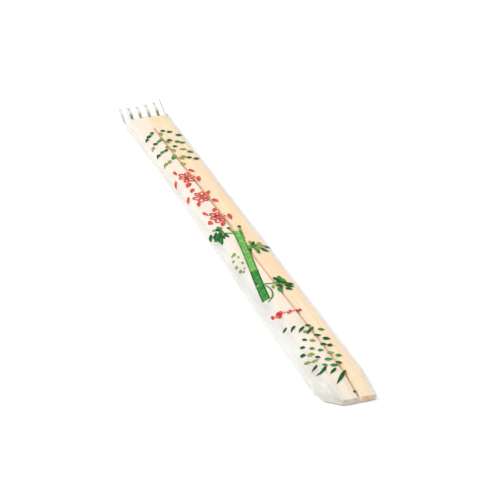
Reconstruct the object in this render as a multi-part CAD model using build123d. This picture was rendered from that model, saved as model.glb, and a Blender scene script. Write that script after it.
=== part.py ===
"""A pair of disposable bamboo chopsticks, still joined at the head, sealed in a film sleeve.

X runs along the pack, from the cut edge of the standing end seal to the turned-down end at the
tips. Y runs across it. Z is up. The pack lies on z = 0, with its back seal underneath. The bamboo
lies along the film's straight right side, so its taper opens a slack margin along the left one.
"""

from build123d import *
from math import cos, radians, sin, sqrt
import os

# Chopsticks: one slat of bamboo, sawn down the middle but for its head.
STICK_LENGTH = 205.0
HEAD_WIDTH = 7.0  # of one stick
TIP_WIDTH = 5.1
HEAD_THICKNESS = 4.6
TIP_THICKNESS = 4.2  # where the bevel starts
BEVEL_LENGTH = 12.0
BEVEL_END_THICKNESS = 1.7
JOINED_LENGTH = 10.0  # of the head, which the saw leaves whole
SAW_CUT = 0.5
SAW_DRIFT = 0.8  # of the cut at the head, to the left of the slat's middle
CUT_MOUTH_CHAMFER = 0.4
EDGE_RADIUS = 0.6  # of the long outer edges
HEAD_CHAMFER = 0.4

# Wrapper: a tube of film, crimped shut at both ends.
FILM = 0.05
CLEARANCE = 0.1  # between the bamboo and the film round it
HEAD_MARGIN = 0.8  # between the head and the film's straight right side
TIP_MARGIN = 0.45  # the same at the tips
SLACK = 0.3  # of the empty tube's flat width, over what the head needs
LOOSE_LIP = 1.6  # height of the tube's slack left side
BAND_LENGTH = 8.0  # of each crimped end seal
BAND_HEIGHT = 4.3  # of the standing end seal's root, above the underside of the sticks
BAND_TILT = radians(12)  # by which it rises from its root
RIBS = 5
RIB_HEIGHT = 1.0
BAND_INSET = 0.3  # of the standing end seal, from the tube's right side
HEAD_SLOPE = 1.0  # from the standing end seal to the end of the head
END_MOUTH = 0.2  # height of the space inside, at that seal's root
END_NARROWING = 2.6  # of the left side, over the bevel of the tips
FIN_WIDTH = 7.0  # of the seal along the back
FOLD_GAP = 0.1  # between the tube and what is folded flat under it
OVERLAP = 1.0  # by which one shape runs into the next before they are fused

# Places that follow from these.
SEAL = 2 * FILM
TUBE_FLOOR = SEAL + FOLD_GAP
STICK_FLOOR = TUBE_FLOOR + FILM
BAND_X = BAND_LENGTH * cos(BAND_TILT)
HEAD_X = BAND_X + HEAD_SLOPE
TIP_X = HEAD_X + STICK_LENGTH
BEVEL_X = TIP_X - BEVEL_LENGTH
END_X = TIP_X + CLEARANCE + FILM
FOLD_X = END_X - BAND_LENGTH + BEVEL_END_THICKNESS  # where the seal folded under the pack ends
FILM_RIGHT_Y = HEAD_WIDTH + HEAD_MARGIN
BAND_Z = STICK_FLOOR + BAND_HEIGHT
SLEEVE_FLAT_WIDTH = 2 * HEAD_WIDTH + HEAD_MARGIN + HEAD_THICKNESS + SLACK
RIB_FLANK = SLEEVE_FLAT_WIDTH / (2 * RIBS)
HALF_PITCH = sqrt(RIB_FLANK**2 - RIB_HEIGHT**2)
BAND_SPAN = 2 * RIBS * HALF_PITCH  # the ribs draw the flat width in to this
BAND_RIGHT_Y = FILM_RIGHT_Y - BAND_INSET
BAND_LEFT_Y = BAND_RIGHT_Y - BAND_SPAN


def stick_width(x):
    """Width of one stick, which narrows evenly from the head to the tip."""
    return HEAD_WIDTH + (TIP_WIDTH - HEAD_WIDTH) * (x - HEAD_X) / STICK_LENGTH


def stick_thickness(x):
    """Thickness of the sticks, with the bevel of their tips."""
    if x <= BEVEL_X:
        share = (x - HEAD_X) / (BEVEL_X - HEAD_X)
        return HEAD_THICKNESS + (TIP_THICKNESS - HEAD_THICKNESS) * share
    share = (x - BEVEL_X) / BEVEL_LENGTH
    return TIP_THICKNESS + (BEVEL_END_THICKNESS - TIP_THICKNESS) * share


def right_side(x):
    """The slat's right side, which lies a little askew in the sleeve."""
    return FILM_RIGHT_Y - HEAD_MARGIN + (HEAD_MARGIN - TIP_MARGIN) * (x - HEAD_X) / STICK_LENGTH


def left_side(x):
    """The slat's left side."""
    return right_side(x) - 2 * stick_width(x)


def seam_y(x):
    """Where the saw cut runs, from left of the slat's middle to the middle at the tips."""
    return right_side(x) - stick_width(x) - SAW_DRIFT * (TIP_X - x) / STICK_LENGTH


def block(x_range, y_range, z_range):
    """A box from its three ranges."""
    size = [high - low for low, high in (x_range, y_range, z_range)]
    corner = Location((x_range[0], y_range[0], z_range[0]))
    return corner * Box(*size, align=Align.MIN)


def cut_from_above(start_x, half_width):
    """The saw's path, from start_x out past the tips."""
    end_x = TIP_X + OVERLAP
    outline = Polyline(
        (start_x, seam_y(start_x) + half_width),
        (end_x, seam_y(end_x) + half_width),
        (end_x, seam_y(end_x) - half_width),
        (start_x, seam_y(start_x) - half_width),
        close=True,
    )
    return extrude(make_face(outline), 2 * HEAD_THICKNESS)


def cut_mouth(start_x, top):
    """The V along one mouth of the saw cut, as a wedge that follows the slat's face."""
    into = -1 if top else 1
    half = SAW_CUT / 2
    sections = []
    for x in (start_x, BEVEL_X, TIP_X, TIP_X + OVERLAP):
        face_z = STICK_FLOOR + (stick_thickness(x) if top else 0)
        deep_z = face_z + into * CUT_MOUTH_CHAMFER
        clear_z = face_z - into * CUT_MOUTH_CHAMFER
        outline = Polyline(
            (x, seam_y(x) - half, deep_z),
            (x, seam_y(x) + half, deep_z),
            (x, seam_y(x) + half + 2 * CUT_MOUTH_CHAMFER, clear_z),
            (x, seam_y(x) - half - 2 * CUT_MOUTH_CHAMFER, clear_z),
            close=True,
        )
        sections.append(make_face(outline))
    return loft(sections, ruled=True)


def make_chopsticks():
    """The slat, its long edges rounded, its tips bevelled, and sawn but for its head."""
    plan = Polyline(
        (HEAD_X, right_side(HEAD_X)),
        (TIP_X, right_side(TIP_X)),
        (TIP_X, left_side(TIP_X)),
        (HEAD_X, left_side(HEAD_X)),
        close=True,
    )
    side = Polyline(
        (HEAD_X, 0, STICK_FLOOR),
        (TIP_X, 0, STICK_FLOOR),
        (TIP_X, 0, STICK_FLOOR + BEVEL_END_THICKNESS),
        (BEVEL_X, 0, STICK_FLOOR + TIP_THICKNESS),
        (HEAD_X, 0, STICK_FLOOR + HEAD_THICKNESS),
        close=True,
    )
    from_above = extrude(make_face(plan), 2 * HEAD_THICKNESS)
    from_the_side = extrude(make_face(side), 2 * HEAD_WIDTH, dir=(0, 1, 0), both=True)
    slat = from_above & from_the_side
    long_edges = slat.edges().filter_by(lambda edge: abs((edge % 0.5).X) > 0.9)
    slat = fillet(long_edges, EDGE_RADIUS)
    slat = chamfer(slat.faces().sort_by(Axis.X)[0].edges(), HEAD_CHAMFER)
    cut_x = HEAD_X + JOINED_LENGTH
    return slat - cut_from_above(cut_x, SAW_CUT / 2) - cut_mouth(cut_x, True) - cut_mouth(cut_x, False)


def tube_section(x, sticks_x, narrowing, grow):
    """The tube's section at x, around the sticks as they are at sticks_x, grown by the film.

    The film's girth is the same all along, so the slack side reaches as far out as the bamboo's
    own girth lets it.
    """
    right = FILM_RIGHT_Y
    left = left_side(sticks_x) - CLEARANCE
    height = stick_thickness(sticks_x) + CLEARANCE
    lip = min(LOOSE_LIP, height / 2)
    spare = 2 * SLEEVE_FLAT_WIDTH - height - 2 * (right - left) - lip
    reach = (spare**2 - (height - lip) ** 2) / (2 * spare)
    loose = left - reach + narrowing
    corners = [
        (right, STICK_FLOOR),
        (right, STICK_FLOOR + height),
        (left, STICK_FLOOR + height),
        (loose, STICK_FLOOR + lip),
        (loose, STICK_FLOOR),
    ]
    face = make_face(Polyline(*[(x, y, z) for y, z in corners], close=True))
    return offset(face, grow, kind=Kind.INTERSECTION) if grow else face


def mouth_section(x, grow):
    """The flattened tube at the root of the standing end seal."""
    right = BAND_RIGHT_Y - FILM
    left = BAND_LEFT_Y + FILM
    half_height = END_MOUTH / 2
    corners = [
        (right, BAND_Z - half_height),
        (right, BAND_Z + half_height),
        (left + OVERLAP, BAND_Z + half_height),
        (left, BAND_Z),
        (left, BAND_Z - half_height),
    ]
    face = make_face(Polyline(*[(x, y, z) for y, z in corners], close=True))
    return offset(face, grow, kind=Kind.INTERSECTION) if grow else face


def tube(mouth_x, end_x, grow):
    """The tube as a solid: its inside with no growth, its outside grown by the film."""
    return loft(
        [
            mouth_section(mouth_x, grow),
            tube_section(HEAD_X - CLEARANCE - grow, HEAD_X, 0.0, grow),
            tube_section(BEVEL_X, BEVEL_X, 0.0, grow),
            tube_section(end_x, TIP_X, END_NARROWING, grow),
        ],
        ruled=True,
    )


def standing_band():
    """The end seal at the head: both layers of film, crimped into ribs that run along the pack."""
    ridge = [
        (BAND_LEFT_Y + i * HALF_PITCH, RIB_HEIGHT / 2 * (1 if i % 2 else -1))
        for i in range(2 * RIBS + 1)
    ]
    upper = [(0, y, z + FILM) for y, z in ridge]
    lower = [(0, y, z - FILM) for y, z in reversed(ridge)]
    section = make_face(Polyline(*upper, *lower, close=True))
    along = Vector(-cos(BAND_TILT), 0, sin(BAND_TILT))
    start = Vector(BAND_X, 0, BAND_Z) - along * OVERLAP
    return extrude(Location(start) * section, BAND_LENGTH + OVERLAP, dir=along)


def folded_band(left_y, right_y):
    """The other end seal, turned down over the tips, with the rest pressed flat under the pack."""
    layer = block((FOLD_X, END_X), (left_y, right_y), (0, SEAL))
    turn = block((END_X - SEAL, END_X), (left_y, right_y), (0, TUBE_FLOOR + FILM))
    return layer + turn


def back_fin():
    """The seal along the back, folded flat against the tube, from its root at one edge."""
    x_range = (HEAD_X, FOLD_X + OVERLAP)
    layer = block(x_range, (-FIN_WIDTH / 2, FIN_WIDTH / 2), (0, SEAL))
    root = block(x_range, (-FIN_WIDTH / 2, -FIN_WIDTH / 2 + SEAL), (0, TUBE_FLOOR + FILM))
    return layer + root


def make_wrapper():
    """The film: a tube round the sticks, its two end seals and the fin along its back."""
    outside = tube(BAND_X, END_X, FILM)
    inside = tube(BAND_X + FILM, END_X - FILM, 0.0)
    end = outside.faces().sort_by(Axis.X)[-1].bounding_box()
    return outside + standing_band() + folded_band(end.min.Y, end.max.Y) + back_fin() - inside


chopsticks = make_chopsticks()
wrapper = make_wrapper()
box = wrapper.bounding_box()
to_origin = Location((-box.center().X, -box.center().Y, 0))

os.makedirs("parts", exist_ok=True)
export_step(to_origin * chopsticks, "parts/chopsticks.step")
export_step(to_origin * wrapper, "parts/wrapper.step")
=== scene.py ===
"""Looks for a sealed pack: a joined pair of bamboo chopsticks in a printed film sleeve.

Lengths are in millimetres here and become metres as each mesh is made. X runs along the pack, from
the standing end seal at the head to the tips, Y across it and Z up, as in the frame.

The film is one closed grid of points. A row is one loop of film round the pack. A column follows
the film's girth from the middle of its straight right side, up, over the top, down the loose left
side and back underneath. The print lies on that grid: each mark has its distance from the head of
the sticks and its distance across the film from the sleeve's right top edge.
"""

import math
import random

import bpy
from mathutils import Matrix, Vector, noise


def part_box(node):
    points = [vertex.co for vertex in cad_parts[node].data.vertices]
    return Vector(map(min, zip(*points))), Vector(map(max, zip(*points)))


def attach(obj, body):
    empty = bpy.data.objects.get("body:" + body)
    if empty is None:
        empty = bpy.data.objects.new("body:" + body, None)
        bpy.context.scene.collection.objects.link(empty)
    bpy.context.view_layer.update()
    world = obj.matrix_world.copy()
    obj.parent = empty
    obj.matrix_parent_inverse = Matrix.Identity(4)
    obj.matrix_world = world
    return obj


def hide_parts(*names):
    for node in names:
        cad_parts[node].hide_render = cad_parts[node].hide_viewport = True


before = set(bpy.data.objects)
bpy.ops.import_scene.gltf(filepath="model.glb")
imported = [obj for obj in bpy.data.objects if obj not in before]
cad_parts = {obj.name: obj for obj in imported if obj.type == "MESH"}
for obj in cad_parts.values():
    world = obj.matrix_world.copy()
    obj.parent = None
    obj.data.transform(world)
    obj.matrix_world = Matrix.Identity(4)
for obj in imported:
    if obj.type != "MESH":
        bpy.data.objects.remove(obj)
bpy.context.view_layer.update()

MM = 0.001


# ---------------------------------------------------------------- what the frame says

def box_mm(node):
    """The corners of a CAD node, in millimetres."""
    low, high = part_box(node)
    return low / MM, high / MM


def vertices_mm(node, x_low, x_high):
    """The places of a CAD node's vertices between two stations, in millimetres."""
    places = [vertex.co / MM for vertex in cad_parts[node].data.vertices]
    return [place for place in places if x_low <= place.x <= x_high]


PACK_LOW, PACK_HIGH = box_mm("wrapper")
STICKS_LOW, STICKS_HIGH = box_mm("chopsticks")
HEAD_X = STICKS_LOW.x
TIP_X = STICKS_HIGH.x
BEVEL_LENGTH = 12.0
BEVEL_X = TIP_X - BEVEL_LENGTH
STICK_FLOOR = STICKS_LOW.z
END_REACH = 1.0  # how far from an end a vertex still counts as that end's

head_ring = vertices_mm("chopsticks", HEAD_X, HEAD_X + END_REACH)
bevel_ring = vertices_mm("chopsticks", BEVEL_X - END_REACH, BEVEL_X + END_REACH)
tip_ring = vertices_mm("chopsticks", TIP_X - END_REACH, TIP_X)
HEAD_SIDES = min(v.y for v in head_ring), max(v.y for v in head_ring)
TIP_SIDES = min(v.y for v in tip_ring), max(v.y for v in tip_ring)
HEAD_TOP = STICKS_HIGH.z
BEVEL_TOP = max(v.z for v in bevel_ring)
TIP_TOP = max(v.z for v in tip_ring)


def mix(a, b, share):
    """The value a share of the way from a to b."""
    return a + (b - a) * share


def clamp(value, low=0.0, high=1.0):
    """The value, kept between low and high."""
    return max(low, min(high, value))


def smooth(value):
    """An even ease from 0 to 1."""
    value = clamp(value)
    return value * value * (3 - 2 * value)


def along_sticks(x):
    """0 at the sticks' head, 1 at their tips."""
    return (x - HEAD_X) / (TIP_X - HEAD_X)


def bamboo_left(x):
    """The y of the bamboo's left side."""
    return mix(HEAD_SIDES[0], TIP_SIDES[0], along_sticks(x))


def bamboo_top(x):
    """The height of the bamboo's upper face, with the bevel of the tips."""
    if x < BEVEL_X:
        return mix(HEAD_TOP, BEVEL_TOP, (x - HEAD_X) / (BEVEL_X - HEAD_X))
    return mix(BEVEL_TOP, TIP_TOP, (x - BEVEL_X) / BEVEL_LENGTH)


SAW_DRIFT = 0.8  # of the cut at the head, to the left of the slat's middle
SEAM_HEAD_Y = sum(HEAD_SIDES) / 2 - SAW_DRIFT
SEAM_TIP_Y = sum(TIP_SIDES) / 2
SEAM_SLOPE = (SEAM_TIP_Y - SEAM_HEAD_Y) / (TIP_X - HEAD_X)
SEAM_MIDDLE_Y = SEAM_HEAD_Y - SEAM_SLOPE * HEAD_X


# ---------------------------------------------------------------- the film's grid

FLAT_WIDTH = 19.7  # of the empty sleeve
GIRTH = 2 * FLAT_WIDTH
COLUMNS = 132
TUBE_STEP = 0.62  # between rows along the tube
FILM_RIGHT = PACK_HIGH.y - 0.02
FILM_FLOOR = STICK_FLOOR - 0.05
CLEARANCE = 0.12  # of the film from the bamboo
LIP_HEIGHT = 1.6  # of the loose left side
EAR = 1.5  # by which the loose side stands out behind the standing seal
EAR_LENGTH = 14.0
EAR_LIP = 1.2  # by which the lip is higher there
LIP_FOOT = 0.5  # by which the lip leans out over its foot
SPREAD = 1.1  # by which the loose side lies further out along the tips' half
SPREAD_START, SPREAD_END = 105.0, 135.0  # from the head
END_NARROWING = 2.1  # of the loose side towards the tips
NARROWING_LENGTH = 13.0
LEAN_LENGTH = 20.0  # over which the loose side is drawn back from the tips
CORNER_RADII = (0.5, 1.0, 1.1, 0.7, 0.5)  # right top, left top, lip, left bottom, right bottom

BAND_LENGTH = 8.0  # of the standing seal
BAND_SAG = 0.25
CUT_WANDER = 0.18  # of the cut edge from a straight line
ROOT_X = HEAD_X - 1.0
BAND_RIGHT = PACK_HIGH.y - 0.35
BAND_SPAN = BAND_RIGHT - PACK_LOW.y
BAND_Z = STICK_FLOOR + 4.3
BAND_RISE = 0.15  # per millimetre, at the root
BAND_CURL_LEFT = 0.2  # by which the cut edge curls up beyond that
BAND_CURL_RIGHT = 1.15
SEAL_HALF = 0.05  # half the thickness of two layers sealed together
RIBS = 5
RIB_PITCH = BAND_SPAN / RIBS
RIB_HEIGHT = 0.42
PLEAT_REACH = 4.5  # over which the ribs' pleats die away into the tube
RIB_SHIFT = 1.4  # of the ribs to the left
RIB_BEND = 0.8  # by which the ribs bend to the right towards the cut edge
RIB_TROUGH_SHADE = (1.0, 0.85, 0.9, 1.0, 0.6, 0.3)  # of the painted shade in each rib's trough, from the right
FRONT_X = TIP_X + 0.16
FRONT_RETREAT = 4.1  # of the end's loose left corner, on the floor
FRONT_INSET = 1.5  # of that corner from the loose side
FRONT_LEAN = 5.0  # by which its upper edge lies back further
FRONT_GAP = 0.45  # from the bamboo to where the film starts to lie back
RETREAT_CURVE = 0.9  # how the corner rounds off, 1 for a straight slant
LEAN_CURVE = 0.7
FOLD_LENGTH = 5.6  # of the seal folded under the pack

BAND_ROWS = 22
MOUTH_ROWS = 9  # from the standing seal to the tube
FRONT_ROWS = 7
FOLD_ROWS = 14
EASE_ROWS = 8  # over which the wrinkles grow, behind the standing seal


def rounded(corners, radii, arc_steps=6):
    """A closed outline with an arc at each corner, from midway along the edge into the first."""
    count = len(corners)
    outline = [(corners[-1] + corners[0]) / 2]
    for i, corner in enumerate(corners):
        to_last = corners[i - 1] - corner
        to_next = corners[(i + 1) % count] - corner
        half_angle = to_last.angle(to_next) / 2
        setback = min(radii[i] / math.tan(half_angle), 0.45 * to_last.length, 0.45 * to_next.length)
        start = corner + to_last.normalized() * setback
        end = corner + to_next.normalized() * setback
        for step in range(arc_steps + 1):
            share = step / arc_steps
            outline.append(start.lerp(corner, share).lerp(corner.lerp(end, share), share))
    return outline


def evenly(outline, count):
    """Points evenly spaced round a closed outline."""
    lengths = [0.0]
    for a, b in zip(outline, outline[1:] + outline[:1]):
        lengths.append(lengths[-1] + (b - a).length)
    points = []
    segment = 0
    for i in range(count):
        target = lengths[-1] * i / count
        while lengths[segment + 1] < target:
            segment += 1
        share = (target - lengths[segment]) / max(lengths[segment + 1] - lengths[segment], 1e-9)
        points.append(outline[segment].lerp(outline[(segment + 1) % len(outline)], share))
    return points


def tube_row(x):
    """One loop of film round the sticks at x, before it is wrinkled."""
    left = bamboo_left(x) - CLEARANCE
    top = bamboo_top(x) + CLEARANCE
    height = top - FILM_FLOOR
    lip = min(LIP_HEIGHT, height / 2)
    spare = GIRTH - height - 2 * (FILM_RIGHT - left) - lip
    reach = (spare**2 - (height - lip) ** 2) / (2 * spare)
    ear = math.exp(-max(x - HEAD_X, 0) / EAR_LENGTH)
    narrowing = END_NARROWING * smooth((x - TIP_X) / NARROWING_LENGTH + 1)
    spread = SPREAD * smooth((x - HEAD_X - SPREAD_START) / (SPREAD_END - SPREAD_START))
    loose = left - reach + narrowing - EAR * ear - spread
    lip += EAR_LIP * ear
    corners = [
        Vector((FILM_RIGHT, top)),
        Vector((left, top)),
        Vector((loose, FILM_FLOOR + lip)),
        Vector((loose + LIP_FOOT, FILM_FLOOR)),
        Vector((FILM_RIGHT, FILM_FLOOR)),
    ]
    return [Vector((x, p.x, p.y)) for p in evenly(rounded(corners, CORNER_RADII), COLUMNS)]


def layer_and_y(column, right, span):
    """Which layer of the flattened film a column is in, 1 for the upper, and its y."""
    girth = 2 * column / COLUMNS
    if girth < 1:
        return 1, right - girth * span
    return -1, right - (2 - girth) * span


def rib_turns(x, y):
    """How many ribs lie between a point and the right end of a seal."""
    bend = RIB_BEND * smooth((HEAD_X - x) / 7)
    return (BAND_RIGHT - RIB_SHIFT - y + bend) / RIB_PITCH


def rib(x, y):
    """The ribs' wave across a seal, from -1 to 1."""
    return math.cos(2 * math.pi * rib_turns(x, y))


def beside_tips(y):
    """0 in front of the sticks, growing to 1 at the end's loose left corner."""
    edge = bamboo_left(TIP_X) - FRONT_GAP
    return clamp((edge - y) / (edge - front_left)) ** RETREAT_CURVE


def band_row(distance):
    """Both layers of the standing seal, that far from its root."""
    share = distance / BAND_LENGTH
    row = []
    for column in range(COLUMNS):
        layer, y = layer_and_y(column, BAND_RIGHT, BAND_SPAN)
        across = (y - BAND_RIGHT + BAND_SPAN) / BAND_SPAN
        curl = mix(BAND_CURL_LEFT, BAND_CURL_RIGHT, across**2) * share**3
        sag = BAND_SAG * math.sin(math.pi * across) * share
        here = ROOT_X - distance
        wave = RIB_HEIGHT * rib(here, y) * (0.75 + 0.25 * share)
        edge = CUT_WANDER * rib(here, y) * share
        x = ROOT_X - distance * math.cos(BAND_RISE + 0.6 * curl / BAND_LENGTH) + edge
        z = BAND_Z + BAND_RISE * distance + curl - sag + wave + layer * SEAL_HALF
        row.append(Vector((x, y, z)))
    return row


def blend_rows(a, b, share):
    """The row a share of the way from a to b."""
    return [p.lerp(q, share) for p, q in zip(a, b)]


def leaning_row(row):
    """A row of the tube near the tips, drawn back on the loose left side."""
    near_end = smooth((row[0].x - TIP_X) / LEAN_LENGTH + 1)
    leant = []
    for point in row:
        beside = beside_tips(point.y)
        back = FRONT_RETREAT * beside + FRONT_LEAN * beside**LEAN_CURVE
        leant.append(point - Vector((back * near_end, 0, 0)))
    return leant


def front_row(share):
    """Film that drops from the tips' top edge to the floor, pleated by the seal under the pack."""
    flat = []
    for column in range(COLUMNS):
        layer, y = layer_and_y(column, FILM_RIGHT - 0.1, FILM_RIGHT - 0.1 - front_left)
        flat.append(Vector((FRONT_X + 0.12 - FRONT_RETREAT * beside_tips(y), y, 0.14 + layer * 0.04)))
    row = blend_rows(leaning_row(tube_row(TIP_X + 0.1)), flat, share)
    for column, point in enumerate(row):
        if column < COLUMNS / 2:
            point.x += 0.2 * math.sin(math.pi * min(share * 1.2, 1)) * (1 + rib(TIP_X, point.y)) / 2
    return row


def folded_row(distance):
    """The end seal folded under the pack, that far from its fold. The upper layer is now below."""
    row = []
    for column in range(COLUMNS):
        layer, y = layer_and_y(column, FILM_RIGHT - 0.15, FILM_RIGHT - 0.15 - front_left)
        ripple = 0.015 * (1 + rib(TIP_X, y))
        back = FRONT_RETREAT * beside_tips(y) + distance
        row.append(Vector((FRONT_X - back, y, 0.045 - layer * 0.03 + ripple)))
    return row


front_left = tube_row(TIP_X)[COLUMNS // 2].y + FRONT_INSET


def slackness(y, z, x):
    """How free the film is at a point: 0 where it lies on the bamboo, 1 on the loose side."""
    off_side = smooth((bamboo_left(x) + 0.6 - y) / 1.6)
    right_wall = 0.25 * smooth((y - FILM_RIGHT + 0.5) / 0.4)
    return max(off_side, right_wall)


def wrinkle(x, girth, y, z):
    """How far the film stands out from its plain form there."""
    free = slackness(y, z, x)
    below = smooth((0.6 - z) / 0.3)
    billow = 0.34 * noise.noise(Vector((x / 17, girth / 5, 3.1)))
    tension = 0.14 * noise.noise(Vector(((x - 2.2 * girth) / 9, (girth + 0.12 * x) / 1.5, 8.7)))
    fine = 0.05 * noise.noise(Vector((x / 2.3, girth / 1.1, 21.0)))
    loose_part = free * (billow + tension + fine)
    lying_part = (1 - free) * 0.045 * (1 + noise.noise(Vector((x / 7, girth / 2.2, 5.5))))
    return (loose_part + lying_part) * (1 - 0.85 * below)


def pleat(x, y):
    """Pleats that the standing seal's ribs leave in the top of the tube."""
    distance = x - HEAD_X
    if distance < -0.5 or distance > 4 * PLEAT_REACH:
        return 0.0
    return 0.22 * math.exp(-max(distance, 0) / PLEAT_REACH) * (1 + rib(x, y)) / 2


def make_rows():
    """All rows of the film, with the index of the tube's first row and how many it has."""
    rows = [band_row(BAND_LENGTH * (1 - i / BAND_ROWS)) for i in range(BAND_ROWS)]
    mouth = band_row(0)
    head = tube_row(HEAD_X - 0.1)
    for i in range(MOUTH_ROWS):
        share = i / MOUTH_ROWS
        rows.append(blend_rows(mouth, head, share**0.9))
    first = len(rows)
    count = round((TIP_X + 0.1 - HEAD_X + 0.1) / TUBE_STEP)
    step = (TIP_X - HEAD_X + 0.2) / count
    rows += [leaning_row(tube_row(HEAD_X - 0.1 + i * step)) for i in range(count + 1)]
    rows += [front_row(i / FRONT_ROWS) for i in range(1, FRONT_ROWS + 1)]
    rows += [folded_row(FOLD_LENGTH * i / FOLD_ROWS) for i in range(1, FOLD_ROWS + 1)]
    return rows, first, count + 1, step


def normals_of(rows):
    """The outward direction at each point of the grid."""
    found = []
    for i, row in enumerate(rows):
        before, after = rows[max(i - 1, 0)], rows[min(i + 1, len(rows) - 1)]
        normals = []
        for j in range(COLUMNS):
            along = after[j] - before[j]
            around = row[(j + 1) % COLUMNS] - row[j - 1]
            normals.append(around.cross(along).normalized())
        found.append(normals)
    return found


rows, tube_first, tube_count, tube_step = make_rows()
plain_normals = normals_of(rows)
for i in range(tube_first - EASE_ROWS, tube_first + tube_count):
    for j, point in enumerate(rows[i]):
        girth = GIRTH * j / COLUMNS
        out = wrinkle(point.x, girth, point.y, point.z)
        ease = smooth((i - tube_first + EASE_ROWS) / EASE_ROWS)
        rise = pleat(point.x, point.y) if j < COLUMNS / 2 else 0.0
        moved = point + plain_normals[i][j] * (out * ease + rise)
        moved.z = max(moved.z, FILM_FLOOR - 0.02)
        rows[i][j] = moved
film_normals = normals_of(rows)


# ---------------------------------------------------------------- mesh helpers

def new_mesh(name, vertices, faces, material):
    """A smooth mesh object that rides on the pack, from places in millimetres."""
    mesh = bpy.data.meshes.new(name)
    mesh.from_pydata([tuple(v * MM for v in vertex) for vertex in vertices], [], faces)
    mesh.polygons.foreach_set("use_smooth", [True] * len(mesh.polygons))
    mesh.materials.append(material)
    mesh.validate()
    obj = bpy.data.objects.new(name, mesh)
    bpy.context.scene.collection.objects.link(obj)
    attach(obj, "root")
    return obj


# ---------------------------------------------------------------- material helpers

class Nodes:
    """A material's node tree, with short ways to add nodes and link them."""

    def __init__(self, name):
        self.material = bpy.data.materials.new(name)
        self.material.use_nodes = True
        self.tree = self.material.node_tree
        self.tree.nodes.clear()
        self.output = self.add("ShaderNodeOutputMaterial")

    def add(self, kind, **settings):
        node = self.tree.nodes.new(kind)
        for key, value in settings.items():
            setattr(node, key, value)
        return node

    def set(self, node, **sockets):
        """Gives sockets, by name with _ for a space, a value or a link."""
        for key, value in sockets.items():
            socket = node.inputs[key.replace("_", " ")]
            if isinstance(value, bpy.types.NodeSocket):
                self.tree.links.new(value, socket)
            else:
                socket.default_value = value
        return node

    def position(self, scale, offset=(0, 0, 0)):
        """The place on the object, in units of the given lengths in millimetres."""
        coordinates = self.add("ShaderNodeTexCoord").outputs["Object"]
        mapping = self.add("ShaderNodeMapping", vector_type="POINT")
        factors = [1 / (MM * s) for s in scale]
        self.set(mapping, Vector=coordinates, Scale=factors, Location=offset)
        return mapping.outputs["Vector"]

    def noise(self, scale, detail=3.0, roughness=0.55, offset=(0, 0, 0)):
        """Noise whose grains have the given lengths in millimetres."""
        texture = self.add("ShaderNodeTexNoise", noise_dimensions="3D")
        vector = self.position(scale, offset)
        self.set(texture, Vector=vector, Scale=1.0, Detail=detail, Roughness=roughness)
        return texture.outputs["Fac"]

    def ramp(self, factor, *stops):
        """A colour ramp through (position, colour) stops."""
        node = self.add("ShaderNodeValToRGB")
        elements = node.color_ramp.elements
        for element, (position, colour) in zip(elements, stops):
            element.position, element.color = position, (*colour, 1)
        for position, colour in stops[2:]:
            elements.new(position).color = (*colour, 1)
        self.tree.links.new(factor, node.inputs["Fac"])
        return node.outputs["Color"]

    def range(self, value, from_low, from_high, to_low=0.0, to_high=1.0, clamp_it=True):
        node = self.add("ShaderNodeMapRange", clamp=clamp_it)
        self.set(node, Value=value, From_Min=from_low, From_Max=from_high, To_Min=to_low, To_Max=to_high)
        return node.outputs["Result"]

    def math(self, operation, a, b=0.0):
        node = self.add("ShaderNodeMath", operation=operation)
        for socket, value in zip(node.inputs, (a, b)):
            if isinstance(value, bpy.types.NodeSocket):
                self.tree.links.new(value, socket)
            else:
                socket.default_value = value
        return node.outputs["Value"]

    def blend(self, factor, a, b, how="MIX"):
        """A mix of two colours, each a socket or a tuple."""
        node = self.add("ShaderNodeMix", data_type="RGBA", blend_type=how)
        for index, value in ((0, factor), (6, a), (7, b)):
            socket = node.inputs[index]
            if isinstance(value, bpy.types.NodeSocket):
                self.tree.links.new(value, socket)
            else:
                socket.default_value = (*value, 1) if isinstance(value, tuple) else value
        return node.outputs[2]

    def bump(self, height, strength, distance):
        node = self.add("ShaderNodeBump")
        self.set(node, Height=height, Strength=strength, Distance=distance * MM)
        return node.outputs["Normal"]

    def attribute(self, name):
        return self.add("ShaderNodeAttribute", attribute_name=name).outputs["Fac"]

    def finish(self, shader):
        self.tree.links.new(shader, self.output.inputs["Surface"])
        return self.material


def rgb(red, green, blue):
    """A linear colour from its screen values, 0 to 255."""
    def linear(value):
        value /= 255
        return value / 12.92 if value <= 0.04045 else ((value + 0.055) / 1.055) ** 2.4
    return tuple(linear(v) for v in (red, green, blue))


# ---------------------------------------------------------------- materials

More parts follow.
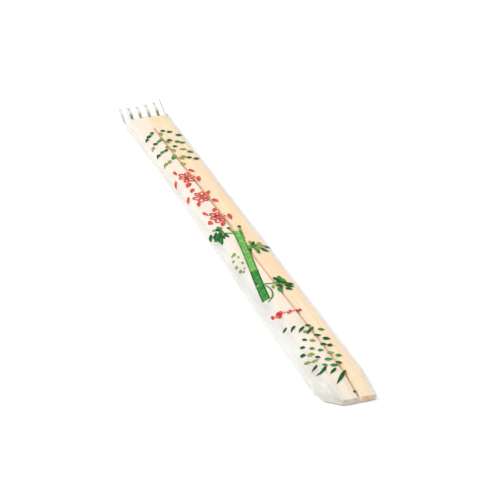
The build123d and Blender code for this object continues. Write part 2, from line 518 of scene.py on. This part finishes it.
def make_bamboo():
    """Planed bamboo: long pale fibres, darker strands, an orange side towards the culm's skin."""
    n = Nodes("bamboo")
    broad = n.noise((38, 3.2, 6), detail=2)
    fibre = n.noise((30, 0.34, 0.5), detail=4, roughness=0.6)
    strand = n.noise((52, 0.16, 0.22), detail=2, offset=(3, 7, 1))
    colour = n.ramp(fibre, (0.3, rgb(222, 194, 152)), (0.7, rgb(238, 224, 195)))
    colour = n.blend(n.range(broad, 0.42, 0.62, 0, 0.75), colour, rgb(233, 199, 157))
    colour = n.blend(n.range(strand, 0.60, 0.70, 0, 0.45), colour, rgb(196, 150, 100))
    across = n.add("ShaderNodeSeparateXYZ")
    n.set(across, Vector=n.position((1, 1, 1)))
    skin_side = n.range(across.outputs["Y"], 5.0, 8.3, 0, 0.4)
    colour = n.blend(skin_side, colour, rgb(230, 190, 140))
    # Painted glare: the stick left of the saw cut is made paler. This stands in for the film's haze and
    # glare over that stick.
    painted_glare_side = n.range(across.outputs["Y"], SEAM_MIDDLE_Y - 1.5, SEAM_MIDDLE_Y, 0.6, 0)
    colour = n.blend(painted_glare_side, colour, rgb(248, 228, 204))
    dots = n.add("ShaderNodeTexVoronoi", feature="F1")
    n.set(dots, Vector=n.position((400, 0.42, 0.42)), Scale=1.0)
    ends = n.add("ShaderNodeNewGeometry").outputs["Normal"]
    facing = n.add("ShaderNodeSeparateXYZ")
    n.set(facing, Vector=ends)
    on_end = n.range(n.math("ABSOLUTE", facing.outputs["X"]), 0.8, 0.95)
    dot = n.math("MULTIPLY", on_end, n.range(dots.outputs["Distance"], 0.16, 0.3, 0.75, 0))
    # Painted shade: faces that look along the sticks, the ends, are made darker orange. The dots on them
    # are the end grain.
    colour = n.blend(n.math("MULTIPLY", on_end, 0.8), colour, rgb(214, 160, 112))
    colour = n.blend(dot, colour, rgb(150, 96, 50))
    seam_line = n.math("MULTIPLY_ADD", across.outputs["X"], SEAM_SLOPE)
    seam_line.node.inputs[2].default_value = SEAM_MIDDLE_Y
    off_seam = n.math("ABSOLUTE", n.math("SUBTRACT", across.outputs["Y"], seam_line))
    # Painted shade: a darker band along the mouth of the saw cut, wider towards the tips and starting past
    # the head.
    reach = n.range(across.outputs["X"], HEAD_X, TIP_X, 0.26, 0.36)
    past_head = n.range(across.outputs["X"], HEAD_X + 9.8, HEAD_X + 10.2, 0, 0.8)
    painted_seam_shade = n.math("MULTIPLY", n.math("LESS_THAN", off_seam, reach), past_head)
    colour = n.blend(painted_seam_shade, colour, rgb(196, 156, 112))
    # Painted light: the walls inside the saw cut are made brighter, to offset the shade that falls in the
    # narrow cut.
    colour = n.blend(n.math("LESS_THAN", off_seam, 0.26), colour, rgb(255, 222, 176))
    relief = n.math("ADD", n.math("MULTIPLY", fibre, 0.6), n.math("MULTIPLY", strand, 0.4))
    shader = n.add("ShaderNodeBsdfPrincipled")
    n.set(shader, Base_Color=colour, Roughness=n.range(fibre, 0.3, 0.7, 0.62, 0.5))
    n.set(shader, Normal=n.bump(relief, 0.55, 0.08))
    return n.finish(shader.outputs["BSDF"])


def make_film():
    """Thin clear film: a milky haze where it stands off the bamboo, almost none where it clings."""
    n = Nodes("film")
    cling = n.attribute("cling")
    crease_shade = n.attribute("crease_shade")
    patches = n.noise((16, 3.2, 3.2), detail=2)
    streaks = n.noise((60, 0.5, 0.5), detail=3, offset=(1, 2, 3))
    haze = n.range(cling, 0, 1, 0.6, 0.1)
    haze = n.math("ADD", haze, n.range(patches, 0.3, 0.7, -0.07, 0.07))
    haze = n.math("ADD", haze, n.range(streaks, 0.4, 0.75, -0.02, 0.05))
    # The crease attribute is painted shade: it makes the film denser here and darker below.
    haze = n.math("MAXIMUM", haze, n.math("MULTIPLY", crease_shade, 0.85))
    haze = n.math("MINIMUM", n.math("MAXIMUM", haze, 0.05), 0.95)
    along = n.add("ShaderNodeSeparateXYZ")
    n.set(along, Vector=n.position((1, 1, 1)))
    towards_root = n.range(along.outputs["X"], PACK_LOW.x + 1, PACK_LOW.x + 4.5)
    # The painted shade's colour: grey by the cut edge, olive towards the root, dark brownish along the
    # tube's edge.
    crease_shade_colour = n.blend(towards_root, rgb(150, 152, 146), rgb(94, 98, 6))
    on_tube = n.range(along.outputs["X"], HEAD_X + 2, HEAD_X + 6)
    crease_shade_colour = n.blend(on_tube, crease_shade_colour, rgb(112, 98, 96))
    cloud = n.range(n.noise((14, 4.5, 4.5), detail=2, offset=(9, 4, 2)), 0.48, 0.68, 0, 0.8)
    white = n.blend(cloud, rgb(247, 246, 243), rgb(230, 233, 229))
    by_tips = n.range(along.outputs["X"], TIP_X - 28, TIP_X, 0, 0.9)
    by_tips = n.math("MULTIPLY", by_tips, n.range(cling, 0, 0.25, 1, 0.25))
    white = n.blend(by_tips, white, rgb(222, 220, 210))
    white = n.blend(crease_shade, white, crease_shade_colour)
    fine = n.noise((1.4, 0.5, 0.5), detail=2, offset=(5, 1, 0))
    body = n.add("ShaderNodeBsdfPrincipled")
    n.set(body, Base_Color=white, Roughness=n.range(by_tips, 0, 0.9, 0.2, 0.6), IOR=1.5)
    n.set(body, Specular_IOR_Level=n.range(by_tips, 0, 0.9, 0.8, 0.2))
    n.set(body, Coat_Weight=n.range(by_tips, 0, 0.9, 0.6, 0), Coat_Roughness=0.06)
    n.set(body, Normal=n.bump(fine, 0.25, 0.03))
    clear = n.add("ShaderNodeBsdfTransparent")
    mixed = n.add("ShaderNodeMixShader")
    n.tree.links.new(haze, mixed.inputs[0])
    n.tree.links.new(clear.outputs[0], mixed.inputs[1])
    n.tree.links.new(body.outputs[0], mixed.inputs[2])
    return n.finish(mixed.outputs[0])


def make_ink(name, dark, light):
    """Screen-printed ink, a little uneven in tone."""
    n = Nodes(name)
    patches = n.noise((1.3, 1.1, 1.1), detail=3, roughness=0.65)
    shader = n.add("ShaderNodeBsdfPrincipled")
    n.set(shader, Base_Color=n.ramp(patches, (0.38, dark), (0.62, light)))
    n.set(shader, Roughness=n.range(patches, 0.3, 0.7, 0.5, 0.62), Specular_IOR_Level=0.12)
    n.set(shader, Normal=n.bump(patches, 0.15, 0.02))
    return n.finish(shader.outputs["BSDF"])


def make_floor_material():
    """A plain pale surface."""
    n = Nodes("floor")
    grain = n.noise((40, 40, 40), detail=2)
    shader = n.add("ShaderNodeBsdfPrincipled")
    n.set(shader, Base_Color=n.ramp(grain, (0.3, rgb(250, 250, 249)), (0.7, rgb(252, 252, 251))))
    n.set(shader, Roughness=0.9, Specular_IOR_Level=0.1)
    return n.finish(shader.outputs["BSDF"])


# ---------------------------------------------------------------- the bamboo

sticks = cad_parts["chopsticks"]
sticks.data.materials.clear()
sticks.data.materials.append(make_bamboo())


# ---------------------------------------------------------------- the film

def seam_of(x):
    """The saw cut's y."""
    return SEAM_MIDDLE_Y + SEAM_SLOPE * x


def cling_at(point, row_index):
    """1 where the film lies on the bamboo, less where it stands off. The drop by the right edge is partly
    painted sheen.
    """
    if row_index < tube_first:
        over_right_stick = smooth((point.y - 2) / 4)
        by_tube = smooth((row_index - 12) / (tube_first - 12))
        return 0.15 + 0.5 * over_right_stick * by_tube
    if row_index >= tube_first + tube_count + FRONT_ROWS:
        return 0.15
    left_stick = smooth((point.y - bamboo_left(point.x)) / 1.2)
    if row_index >= tube_first + tube_count:
        return 0.8 * smooth((point.y - seam_of(TIP_X) + 1.5) / 5)
    on_top = smooth((point.z - bamboo_top(point.x) + 0.5) / 0.4)
    by_head = math.exp(-(point.x - HEAD_X) / 7)
    right_stick = smooth((point.y - seam_of(point.x) + 1.3 + 3.5 * by_head) / (1 + 5 * by_head))
    # Towards the right edge the value drops and whitens a band over the right stick. This is partly the
    # film standing off its rounded edge and partly painted sheen.
    right_sheen_band = smooth((FILM_RIGHT - point.y - 0.3) / 1.9)
    return on_top * mix(0.3 * left_stick, mix(0.15, 1, right_sheen_band), right_stick)


def crease_shade_at(point, row_index):
    """Painted shade: 1 along the troughs of the seals' ribs and along the film's folded right edges, where
    the film is made darker and denser.
    """
    trough = smooth((-rib(point.x, point.y) - 0.36) / 0.4)
    if row_index < tube_first:
        share = row_index / tube_first
        which = int(clamp(rib_turns(point.x, point.y), 0, RIBS))
        stroke = (0.4 + 0.6 * smooth((share - 0.2) / 0.3)) * smooth((1.04 - share) / 0.1)
        pinch = 0.5 * smooth(1 - abs(share - 0.09) / 0.09)  # by the cut edge
        fold = 0.9 * smooth((point.y - BAND_RIGHT + 0.45) / 0.2)
        if point.y >= BAND_RIGHT - RIB_SHIFT:
            return fold
        return max(trough * RIB_TROUGH_SHADE[which] * min(stroke + pinch, 1), fold)
    top = bamboo_top(point.x)
    if row_index >= tube_first + tube_count:
        return 0.35 * trough * smooth((point.z - 0.4 * top) / (0.4 * top))
    # Painted shade along the film's right top edge, fading towards the tips.
    fold = smooth((point.y - FILM_RIGHT + 0.34) / 0.12) * smooth((point.z - top + 0.45) / 0.25)
    return fold * mix(1.0, 0.7, along_sticks(point.x))


film_material = make_film()
vertices = [point for row in rows for point in row]
faces = []
for i in range(len(rows) - 1):
    for j in range(COLUMNS):
        k = (j + 1) % COLUMNS
        faces.append((i * COLUMNS + j, i * COLUMNS + k, (i + 1) * COLUMNS + k, (i + 1) * COLUMNS + j))
for start, flip in ((0, True), ((len(rows) - 1) * COLUMNS, False)):
    for j in range(COLUMNS // 2):  # closes the cut edge between its two layers
        a, b = start + j, start + j + 1
        c, d = start + (COLUMNS - j - 1) % COLUMNS, start + (COLUMNS - j) % COLUMNS
        corners = list(dict.fromkeys((a, b, c, d)))
        if len(corners) > 2:
            faces.append(tuple(reversed(corners)) if flip else tuple(corners))
sleeve = new_mesh("film_sleeve", vertices, faces, film_material)
for name, rule in (("cling", cling_at), ("crease_shade", crease_shade_at)):
    layer = sleeve.data.attributes.new(name, "FLOAT", "POINT")
    values = [rule(point, i) for i, row in enumerate(rows) for point in row]
    layer.data.foreach_set("value", values)
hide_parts("wrapper")


# ---------------------------------------------------------------- the print

class Print:
    """One ink's marks on the film, gathered into one mesh."""

    ACROSS = 6  # strips across a mark

    def __init__(self, lift):
        self.lift = lift  # above the film
        self.vertices = []
        self.faces = []

    def on_film(self, x, across):
        """The place x from the head and that far across the film from its right top edge."""
        row_at = clamp((x + 0.1) / tube_step, 0, tube_count - 1.001)
        i = int(row_at)
        wall = (bamboo_top(HEAD_X + x) + CLEARANCE - FILM_FLOOR) / 2
        column_at = (across + wall) / GIRTH * COLUMNS
        j = int(column_at)
        s, t = row_at - i, column_at - j
        a, b = rows[tube_first + i], rows[tube_first + i + 1]
        m, n = film_normals[tube_first + i], film_normals[tube_first + i + 1]
        here, beyond = j % COLUMNS, (j + 1) % COLUMNS
        place = a[here].lerp(a[beyond], t).lerp(b[here].lerp(b[beyond], t), s)
        normal = m[here].lerp(m[beyond], t).lerp(n[here].lerp(n[beyond], t), s)
        return place + normal.normalized() * self.lift

    def mark(self, centre, half_width, steps):
        """A mark along centre(u), u from 0 to 1, half_width(u) to each side."""
        first = len(self.vertices)
        for i in range(steps + 1):
            u = i / steps
            here = Vector(centre(u))
            ahead = Vector(centre(min(u + 0.01, 1))) - Vector(centre(max(u - 0.01, 0)))
            side = Vector((-ahead.y, ahead.x)).normalized() * half_width(u)
            for j in range(self.ACROSS + 1):
                at = here + side * (2 * j / self.ACROSS - 1)
                self.vertices.append(self.on_film(at.x, at.y))
        for i in range(steps):
            for j in range(self.ACROSS):
                a = first + i * (self.ACROSS + 1) + j
                b = a + self.ACROSS + 1
                self.faces.append((a, a + 1, b + 1, b))

    def line(self, points, width, steps=24, taper=0.0):
        """A smooth line through the curve that the points control."""
        def centre(u):
            level = [Vector(p) for p in points]
            while len(level) > 1:
                level = [a.lerp(b, u) for a, b in zip(level, level[1:])]
            return level[0]
        self.mark(centre, lambda u: width / 2 * (1 - taper * u), steps)

    def leaf(self, x, across, angle, length, width, bend=0.03):
        """A pointed leaf from its stalk end. An angle of 0 points to the tips, 90 to the left."""
        turn = math.radians(angle)
        ahead = Vector((math.cos(turn), math.sin(turn)))
        side = Vector((-ahead.y, ahead.x))
        base = Vector((x, across))

        def centre(u):
            return base + ahead * length * u + side * length * bend * math.sin(math.pi * u)

        def half_width(u):
            return 0.51 * width * max(math.sin(math.pi * u**0.75) ** 0.9, 0.02)

        self.mark(centre, half_width, max(14, round(2.4 * length)))

    def dot(self, x, across, radius, squeeze=1.0):
        """A dot, or an oval that is longer along the film where squeeze is less than 1."""
        def half_width(u):
            return max(radius * squeeze * math.sqrt(max(1 - (2 * u - 1) ** 2, 0)), 0.004)
        self.mark(lambda u: (x + radius * (2 * u - 1), across), half_width, 12)

    def ring(self, x, across, radius_x, radius_across, turn, width):
        """An oval outline."""
        cosine, sine = math.cos(turn), math.sin(turn)

        def centre(u):
            a, b = radius_x * math.cos(2 * math.pi * u), radius_across * math.sin(2 * math.pi * u)
            return x + a * cosine - b * sine, across + a * sine + b * cosine

        self.mark(centre, lambda u: width / 2 * (1 + 0.25 * math.sin(4 * math.pi * u)), 26)

    def piece(self, name, material):
        """The marks as one mesh that goes with the film."""
        return new_mesh(name, self.vertices, self.faces, material)


dark_green, green, pale_green, olive, brown, red = (Print(0.068 - 0.005 * layer) for layer in range(6))
rng = random.Random(7)


GREENS = dark_green, dark_green, green, olive  # the dark one twice as often
PRINT_LEFT = FLAT_WIDTH - 4.5  # how far across the film the leaves reach
PRINT_RIGHT = 3.5
RIGHTWARD = -60  # the angle of leaves that point to the right and the tips
LEFTWARD = 42


def over_seam(x):
    """How far across the film the saw cut lies, at x from the head."""
    return FILM_RIGHT - seam_of(HEAD_X + x)


def twig_leaves(start, end, spacing, angle, length, width):
    """Leaves along a twig from start to end, each a little different."""
    start, end = Vector(start), Vector(end)
    count = max(round((end - start).length / spacing), 1)
    for i in range(count + 1):
        place = start.lerp(end, i / count)
        x = place.x + rng.uniform(-0.9, 0.9)
        across = place.y + rng.uniform(-0.4, 0.4)
        turn = angle + rng.uniform(-16, 16)
        size = rng.uniform(0.75, 1.2)
        rng.choice(GREENS).leaf(x, across, turn, length * size, width * rng.uniform(0.85, 1.15))


# The upper sprig: a thin stem over the saw cut, with twigs in pairs that slant out towards the tips.
STEM_START = 9.0
STEM_END = 92.0
STEM_BENDS = 3
stem_stations = [mix(STEM_START, STEM_END, i / STEM_BENDS) for i in range(STEM_BENDS + 1)]
brown.line([(x, over_seam(x)) for x in stem_stations], 0.25, steps=60)
UPPER_START = 13.0
UPPER_PAIRS = 4
UPPER_PITCH = 7.2
TWIG_GAP = 1.2  # from the stem to the first leaf
TWIG_REACH = 5.2
TWIG_SLANT = 0.9  # towards the tips, per millimetre outwards
STEM_LEAVES = -0.5, 0.6  # how far from the stem its own leaves start
for pair in range(UPPER_PAIRS):
    x = UPPER_START + UPPER_PITCH * pair
    stem = over_seam(x)
    out_x = x + TWIG_SLANT * TWIG_REACH
    twig_leaves((x, stem - TWIG_GAP), (out_x, stem - TWIG_REACH), 2.9, RIGHTWARD, 2.5, 1.6)
    twig_leaves((x, stem + TWIG_GAP), (out_x, stem + TWIG_REACH), 2.9, LEFTWARD, 3.0, 1.5)
    for beside in STEM_LEAVES:
        olive.leaf(x + 3.2 + 4 * beside, stem + beside, rng.uniform(-50, 30), 2.6, 1.5)


def blossom(x, across, petals, reach, turn):
    """Small round petals about a centre, each an outline with an open middle."""
    for petal in range(petals):
        angle = turn + 2 * math.pi * petal / petals
        along, aside = math.cos(angle), math.sin(angle)
        petal_x = x + reach * along + rng.uniform(-0.35, 0.35)
        petal_across = across + 0.66 * reach * aside + rng.uniform(-0.25, 0.25)
        size = rng.uniform(0.75, 1.1)
        red.ring(petal_x, petal_across, 1.3 * size, 0.85 * size, angle, 0.76)
        red.dot(x + 0.35 * reach * along, across + 0.2 * reach * aside, 0.34)


# Blossoms at even distances, each with loose petals round it.
BLOSSOMS = 3
BLOSSOM_START = 52.0
BLOSSOM_PITCH = 16.0
LOOSE_PETALS = 5
LOOSE_REACH_X = 5.6
LOOSE_REACH_ACROSS = 4.7
for i in range(BLOSSOMS):
    x = BLOSSOM_START + BLOSSOM_PITCH * i
    across = over_seam(x) + 2.4
    blossom(x, across, 6, 2.5, 0.5 + i)
    for petal in range(LOOSE_PETALS):
        turn = 2 * math.pi * (petal + 0.4 * i) / LOOSE_PETALS
        petal_x = x - 1.5 + LOOSE_REACH_X * math.cos(turn)
        petal_across = across + LOOSE_REACH_ACROSS * math.sin(turn)
        red.leaf(petal_x, petal_across, rng.uniform(-35, 35), rng.uniform(2.8, 4.6), rng.uniform(1.3, 2.1))

# The stalk: lengths between nodes, with a darker edge on each side, darker towards its foot.
STALK_START = Vector((95.5, 6.8))
STALK_END = Vector((143.0, 12.8))
STALK_LENGTHS = 5
STALK_GAP = 0.25  # left at each node
STALK_HALF = 1.2
for i in range(STALK_LENGTHS):
    upper = STALK_START.lerp(STALK_END, i / STALK_LENGTHS)
    lower = STALK_START.lerp(STALK_END, (i + 1) / STALK_LENGTHS)
    ahead = (lower - upper).normalized() * STALK_GAP

    def centre(u, a=upper + ahead, b=lower - ahead):
        return a.lerp(b, u)

    body, shade = (pale_green, green) if i < STALK_LENGTHS - 2 else (green, dark_green)
    body.mark(centre, lambda u: STALK_HALF + 0.22 * abs(2 * u - 1) ** 3, 16)
    for aside in (-STALK_HALF, STALK_HALF):
        shade.mark(lambda u, c=centre, a=aside: c(u) + Vector((0, a)), lambda u: 0.24, 12)
    if i:
        olive.line([(upper.x, upper.y - 1.7), (upper.x + 0.3, upper.y + 1.7)], 0.6, steps=5)
SHOOT = (6, 0.7), (0, 1.5), (-2.5, 2)  # from the stalk's top, along the film and aside
TENDRIL = (-8.5, -2.8), (-5.5, -4.6), (0, -3.2), (1.4, -0.2)  # from the stalk's foot
for side in (-1, 1):
    shoot = [STALK_START + Vector((reach, side * aside)) for reach, aside in SHOOT]
    olive.line([tuple(point) for point in shoot], 0.8, steps=14)
    dark_green.dot(shoot[-1].x, shoot[-1].y, 0.8, squeeze=0.8)
tendril = [STALK_END + Vector(offset) for offset in TENDRIL]
green.line([tuple(point) for point in tendril], 0.55, steps=24)


def leaf_bunch(x, across, reach, count):
    """Leaves in a spiral that fills an oval evenly."""
    for i in range(count):
        turn = math.radians(137.5) * i
        away = reach * math.sqrt((i + 0.5) / count)
        leaf_x = x + away * math.cos(turn)
        leaf_across = across + 0.6 * away * math.sin(turn)
        angle = rng.uniform(-50, 30)
        rng.choice(GREENS).leaf(leaf_x, leaf_across, angle, rng.uniform(2.4, 4.0), rng.uniform(1.1, 1.8))


# Twigs from the stalk, each with a bunch of leaves at its end.
TWIG_LEANS = -2.7, 2.2  # towards the tips, of a twig at the stalk's top and at its foot
TWIGS = (  # each one's share of the way down the stalk, where across the film it ends, and its leaves
    (0.05, PRINT_LEFT - 1.5, 15),
    (0.3, PRINT_RIGHT + 0.5, 12),
    (0.8, PRINT_RIGHT + 1.5, 14),
)
BUNCH_REACH = 4.6
for share, far, count in TWIGS:
    root = STALK_START.lerp(STALK_END, share)
    end = Vector((root.x + mix(*TWIG_LEANS, share), far))
    bend = root.lerp(end, 0.5) + Vector((-0.8, 0))
    green.line([tuple(root), tuple(bend), tuple(end)], 0.6, steps=12)
    leaf_bunch(end.x - 1.0, end.y, BUNCH_REACH, count)

# Buds in an oval to the stalk's left.
BUDS = 9
BUDS_X = 116.5
BUDS_ACROSS = PRINT_LEFT - 1.6
BUDS_REACH_X = 6.0
BUDS_REACH_ACROSS = 1.3
for i in range(BUDS):
    turn = 2 * math.pi * i / BUDS
    bud_x = BUDS_X + BUDS_REACH_X * math.cos(turn)
    bud_across = BUDS_ACROSS + BUDS_REACH_ACROSS * math.sin(turn)
    olive.dot(bud_x, bud_across, rng.uniform(0.6, 0.95), squeeze=0.7)

# A row of small marks across the film, with one that is larger.
DOTS = 10
LARGE_DOT = 7
DOTS_X = 153.2
DOTS_START = 5.0
DOTS_PITCH = 1.04
for i in range(DOTS):
    across = DOTS_START + DOTS_PITCH * i
    radius = 1.9 if i == LARGE_DOT else 0.85 + 0.3 * math.sin(2.3 * i)
    red.dot(DOTS_X + 0.4 * math.sin(1.9 * i), across, radius, squeeze=0.52)

# The lower sprig: slanting rows of small leaves, then long ones that hang to the left.
LOWER_START = 163.0
LOWER_ROWS = 6
ROW_PITCH = 3.7
ROW_SLANT = 1.05  # towards the tips, per millimetre to the right
for row in range(LOWER_ROWS):
    left = min(7.0 + 1.9 * row, PRINT_LEFT - 0.5)
    right = max(PRINT_RIGHT + 0.8, 1.8 * row - 1.0)
    x = LOWER_START + ROW_PITCH * row
    end = x + ROW_SLANT * (left - right), right
    twig_leaves((x, left), end, 2.8, RIGHTWARD, 2.4, 1.6)
LONG_LEAVES = 4  # below the rows, and as many above them
LONG_START = 186.0
for i in range(LONG_LEAVES):
    x = LONG_START + 2.2 * i
    length = 4.2 + 3.6 * (i % 2)
    dark_green.leaf(x, PRINT_LEFT - 3.4 - 2.3 * i, LEFTWARD + rng.uniform(-4, 8), length, 1.2, -0.02)
    dark_green.leaf(LOWER_START - 2 + 1.2 * i, PRINT_LEFT - 2.6 - 2.6 * i, LEFTWARD, 3.0 + 0.8 * i, 1.1)

# A dark dot beside the saw cut by the tips: painted shadow at the tips' inner corner, in the dark green
# ink.
TIP_SHADOW_X = TIP_X - HEAD_X - 2.5
dark_green.dot(TIP_SHADOW_X, over_seam(TIP_SHADOW_X) + 0.8, 0.6, squeeze=0.9)

inks = (
    # The dark green ink also carries the painted shadow dot by the tips.
    ("print_dark_green_and_tip_shadow", dark_green, rgb(6, 70, 16), rgb(32, 98, 44)),
    ("print_green", green, rgb(24, 110, 38), rgb(72, 146, 66)),
    ("print_pale_green", pale_green, rgb(92, 156, 72), rgb(128, 184, 100)),
    ("print_olive", olive, rgb(104, 124, 48), rgb(152, 160, 84)),
    ("print_brown", brown, rgb(196, 150, 112), rgb(216, 172, 134)),
    ("print_red", red, rgb(178, 36, 31), rgb(218, 96, 74)),
)
for name, marks, dark, light in inks:
    marks.piece(name, make_ink(name, dark, light))


# ---------------------------------------------------------------- the seal along the back

fin_ring = [v for v in vertices_mm("wrapper", HEAD_X - 0.5, HEAD_X + 1.0) if v.z < 0.02]
FIN_LEFT = min(v.y for v in fin_ring)
FIN_RIGHT = max(v.y for v in fin_ring)
FIN_START = HEAD_X + 0.2
FIN_END = FRONT_X - FOLD_LENGTH - 0.3


def fin_profile(x):
    """The fin's thin section at x, from its root under the tube to its free edge and back."""
    free = FIN_RIGHT + 0.12 * noise.noise(Vector((x / 6, 0, 40)))
    ripple = 0.02 * (1 + noise.noise(Vector((x / 3, 1, 41))))
    columns = 8
    shares = [c / columns for c in range(columns + 1)]
    over = [(mix(FIN_LEFT + 0.1, free, share), 0.09 + ripple * share) for share in shares]
    under = [(mix(free, FIN_LEFT, share), 0.01 + 0.3 * ripple) for share in shares]
    return under + [(FIN_LEFT, FILM_FLOOR - 0.01), (FIN_LEFT + 0.1, FILM_FLOOR - 0.01)] + over


fin_stations = 260
fin_rows = []
for i in range(fin_stations + 1):
    x = mix(FIN_START, FIN_END, i / fin_stations)
    fin_rows.append([Vector((x, y, z)) for y, z in fin_profile(x)])
width = len(fin_rows[0])
fin_vertices = [point for row in fin_rows for point in row]
fin_faces = []
for i in range(fin_stations):
    for j in range(width):
        k = (j + 1) % width
        fin_faces.append((i * width + j, i * width + k, (i + 1) * width + k, (i + 1) * width + j))
fin_faces.append(tuple(reversed(range(width))))
fin_faces.append(tuple(range(fin_stations * width, (fin_stations + 1) * width)))
fin = new_mesh("film_back_fin", fin_vertices, fin_faces, film_material)
for name, value in (("cling", 0.1), ("crease_shade", 0.0)):
    layer = fin.data.attributes.new(name, "FLOAT", "POINT")
    layer.data.foreach_set("value", [value] * len(fin_vertices))


# ---------------------------------------------------------------- floor, light and camera

def make_floor():
    """A plain floor under the pack, well past the camera's view."""
    size = 3.0
    mesh = bpy.data.meshes.new("floor")
    corners = [(-size, -size, 0), (size, -size, 0), (size, size, 0), (-size, size, 0)]
    mesh.from_pydata(corners, [], [(0, 1, 2, 3)])
    mesh.materials.append(make_floor_material())
    floor = bpy.data.objects.new("floor", mesh)
    floor.location.z = -0.00002
    bpy.context.scene.collection.objects.link(floor)


def make_light(name, place, target, size, power):
    """A soft square light."""
    data = bpy.data.lights.new(name, "AREA")
    data.shape = "SQUARE"
    data.size = size
    data.energy = power
    lamp = bpy.data.objects.new(name, data)
    lamp.location = place
    lamp.rotation_mode = "QUATERNION"
    lamp.rotation_quaternion = (Vector(target) - Vector(place)).to_track_quat("-Z", "Y")
    bpy.context.scene.collection.objects.link(lamp)


def make_world(strength):
    """Even white light from all round."""
    world = bpy.data.worlds.new("studio")
    world.use_nodes = True
    background = world.node_tree.nodes["Background"]
    background.inputs["Color"].default_value = (1.0, 1.0, 1.0, 1)
    background.inputs["Strength"].default_value = strength
    bpy.context.scene.world = world


CAMERA_ELEVATION = math.radians(28.62)
CAMERA_HEADING = math.radians(-70.22)  # from the Y axis, clockwise seen from above
CAMERA_DISTANCE = 850.0
CAMERA_AIM = Vector((7.08, 3.36, 2.0))
CAMERA_LENS = 180.6


def make_camera():
    """The viewpoint: past the tips, to the left of the pack and above it."""
    ahead = Vector((
        math.sin(CAMERA_HEADING) * math.cos(CAMERA_ELEVATION),
        math.cos(CAMERA_HEADING) * math.cos(CAMERA_ELEVATION),
        -math.sin(CAMERA_ELEVATION),
    ))
    data = bpy.data.cameras.new("camera")
    data.lens = CAMERA_LENS
    data.sensor_width = 36.0
    data.clip_start, data.clip_end = 0.05, 20
    camera = bpy.data.objects.new("camera", data)
    camera.location = (CAMERA_AIM - ahead * CAMERA_DISTANCE) * MM
    camera.rotation_mode = "QUATERNION"
    camera.rotation_quaternion = ahead.to_track_quat("-Z", "Y")
    bpy.context.scene.collection.objects.link(camera)
    bpy.context.scene.camera = camera


make_floor()
make_world(0.68)
make_light("key", (-0.25, -0.55, 0.75), (0, 0, 0), 0.6, 6.2)
make_light("fill", (0.5, 0.5, 0.6), (0, 0, 0), 0.8, 2.6)
make_camera()
bpy.context.scene.view_settings.view_transform = "Standard"
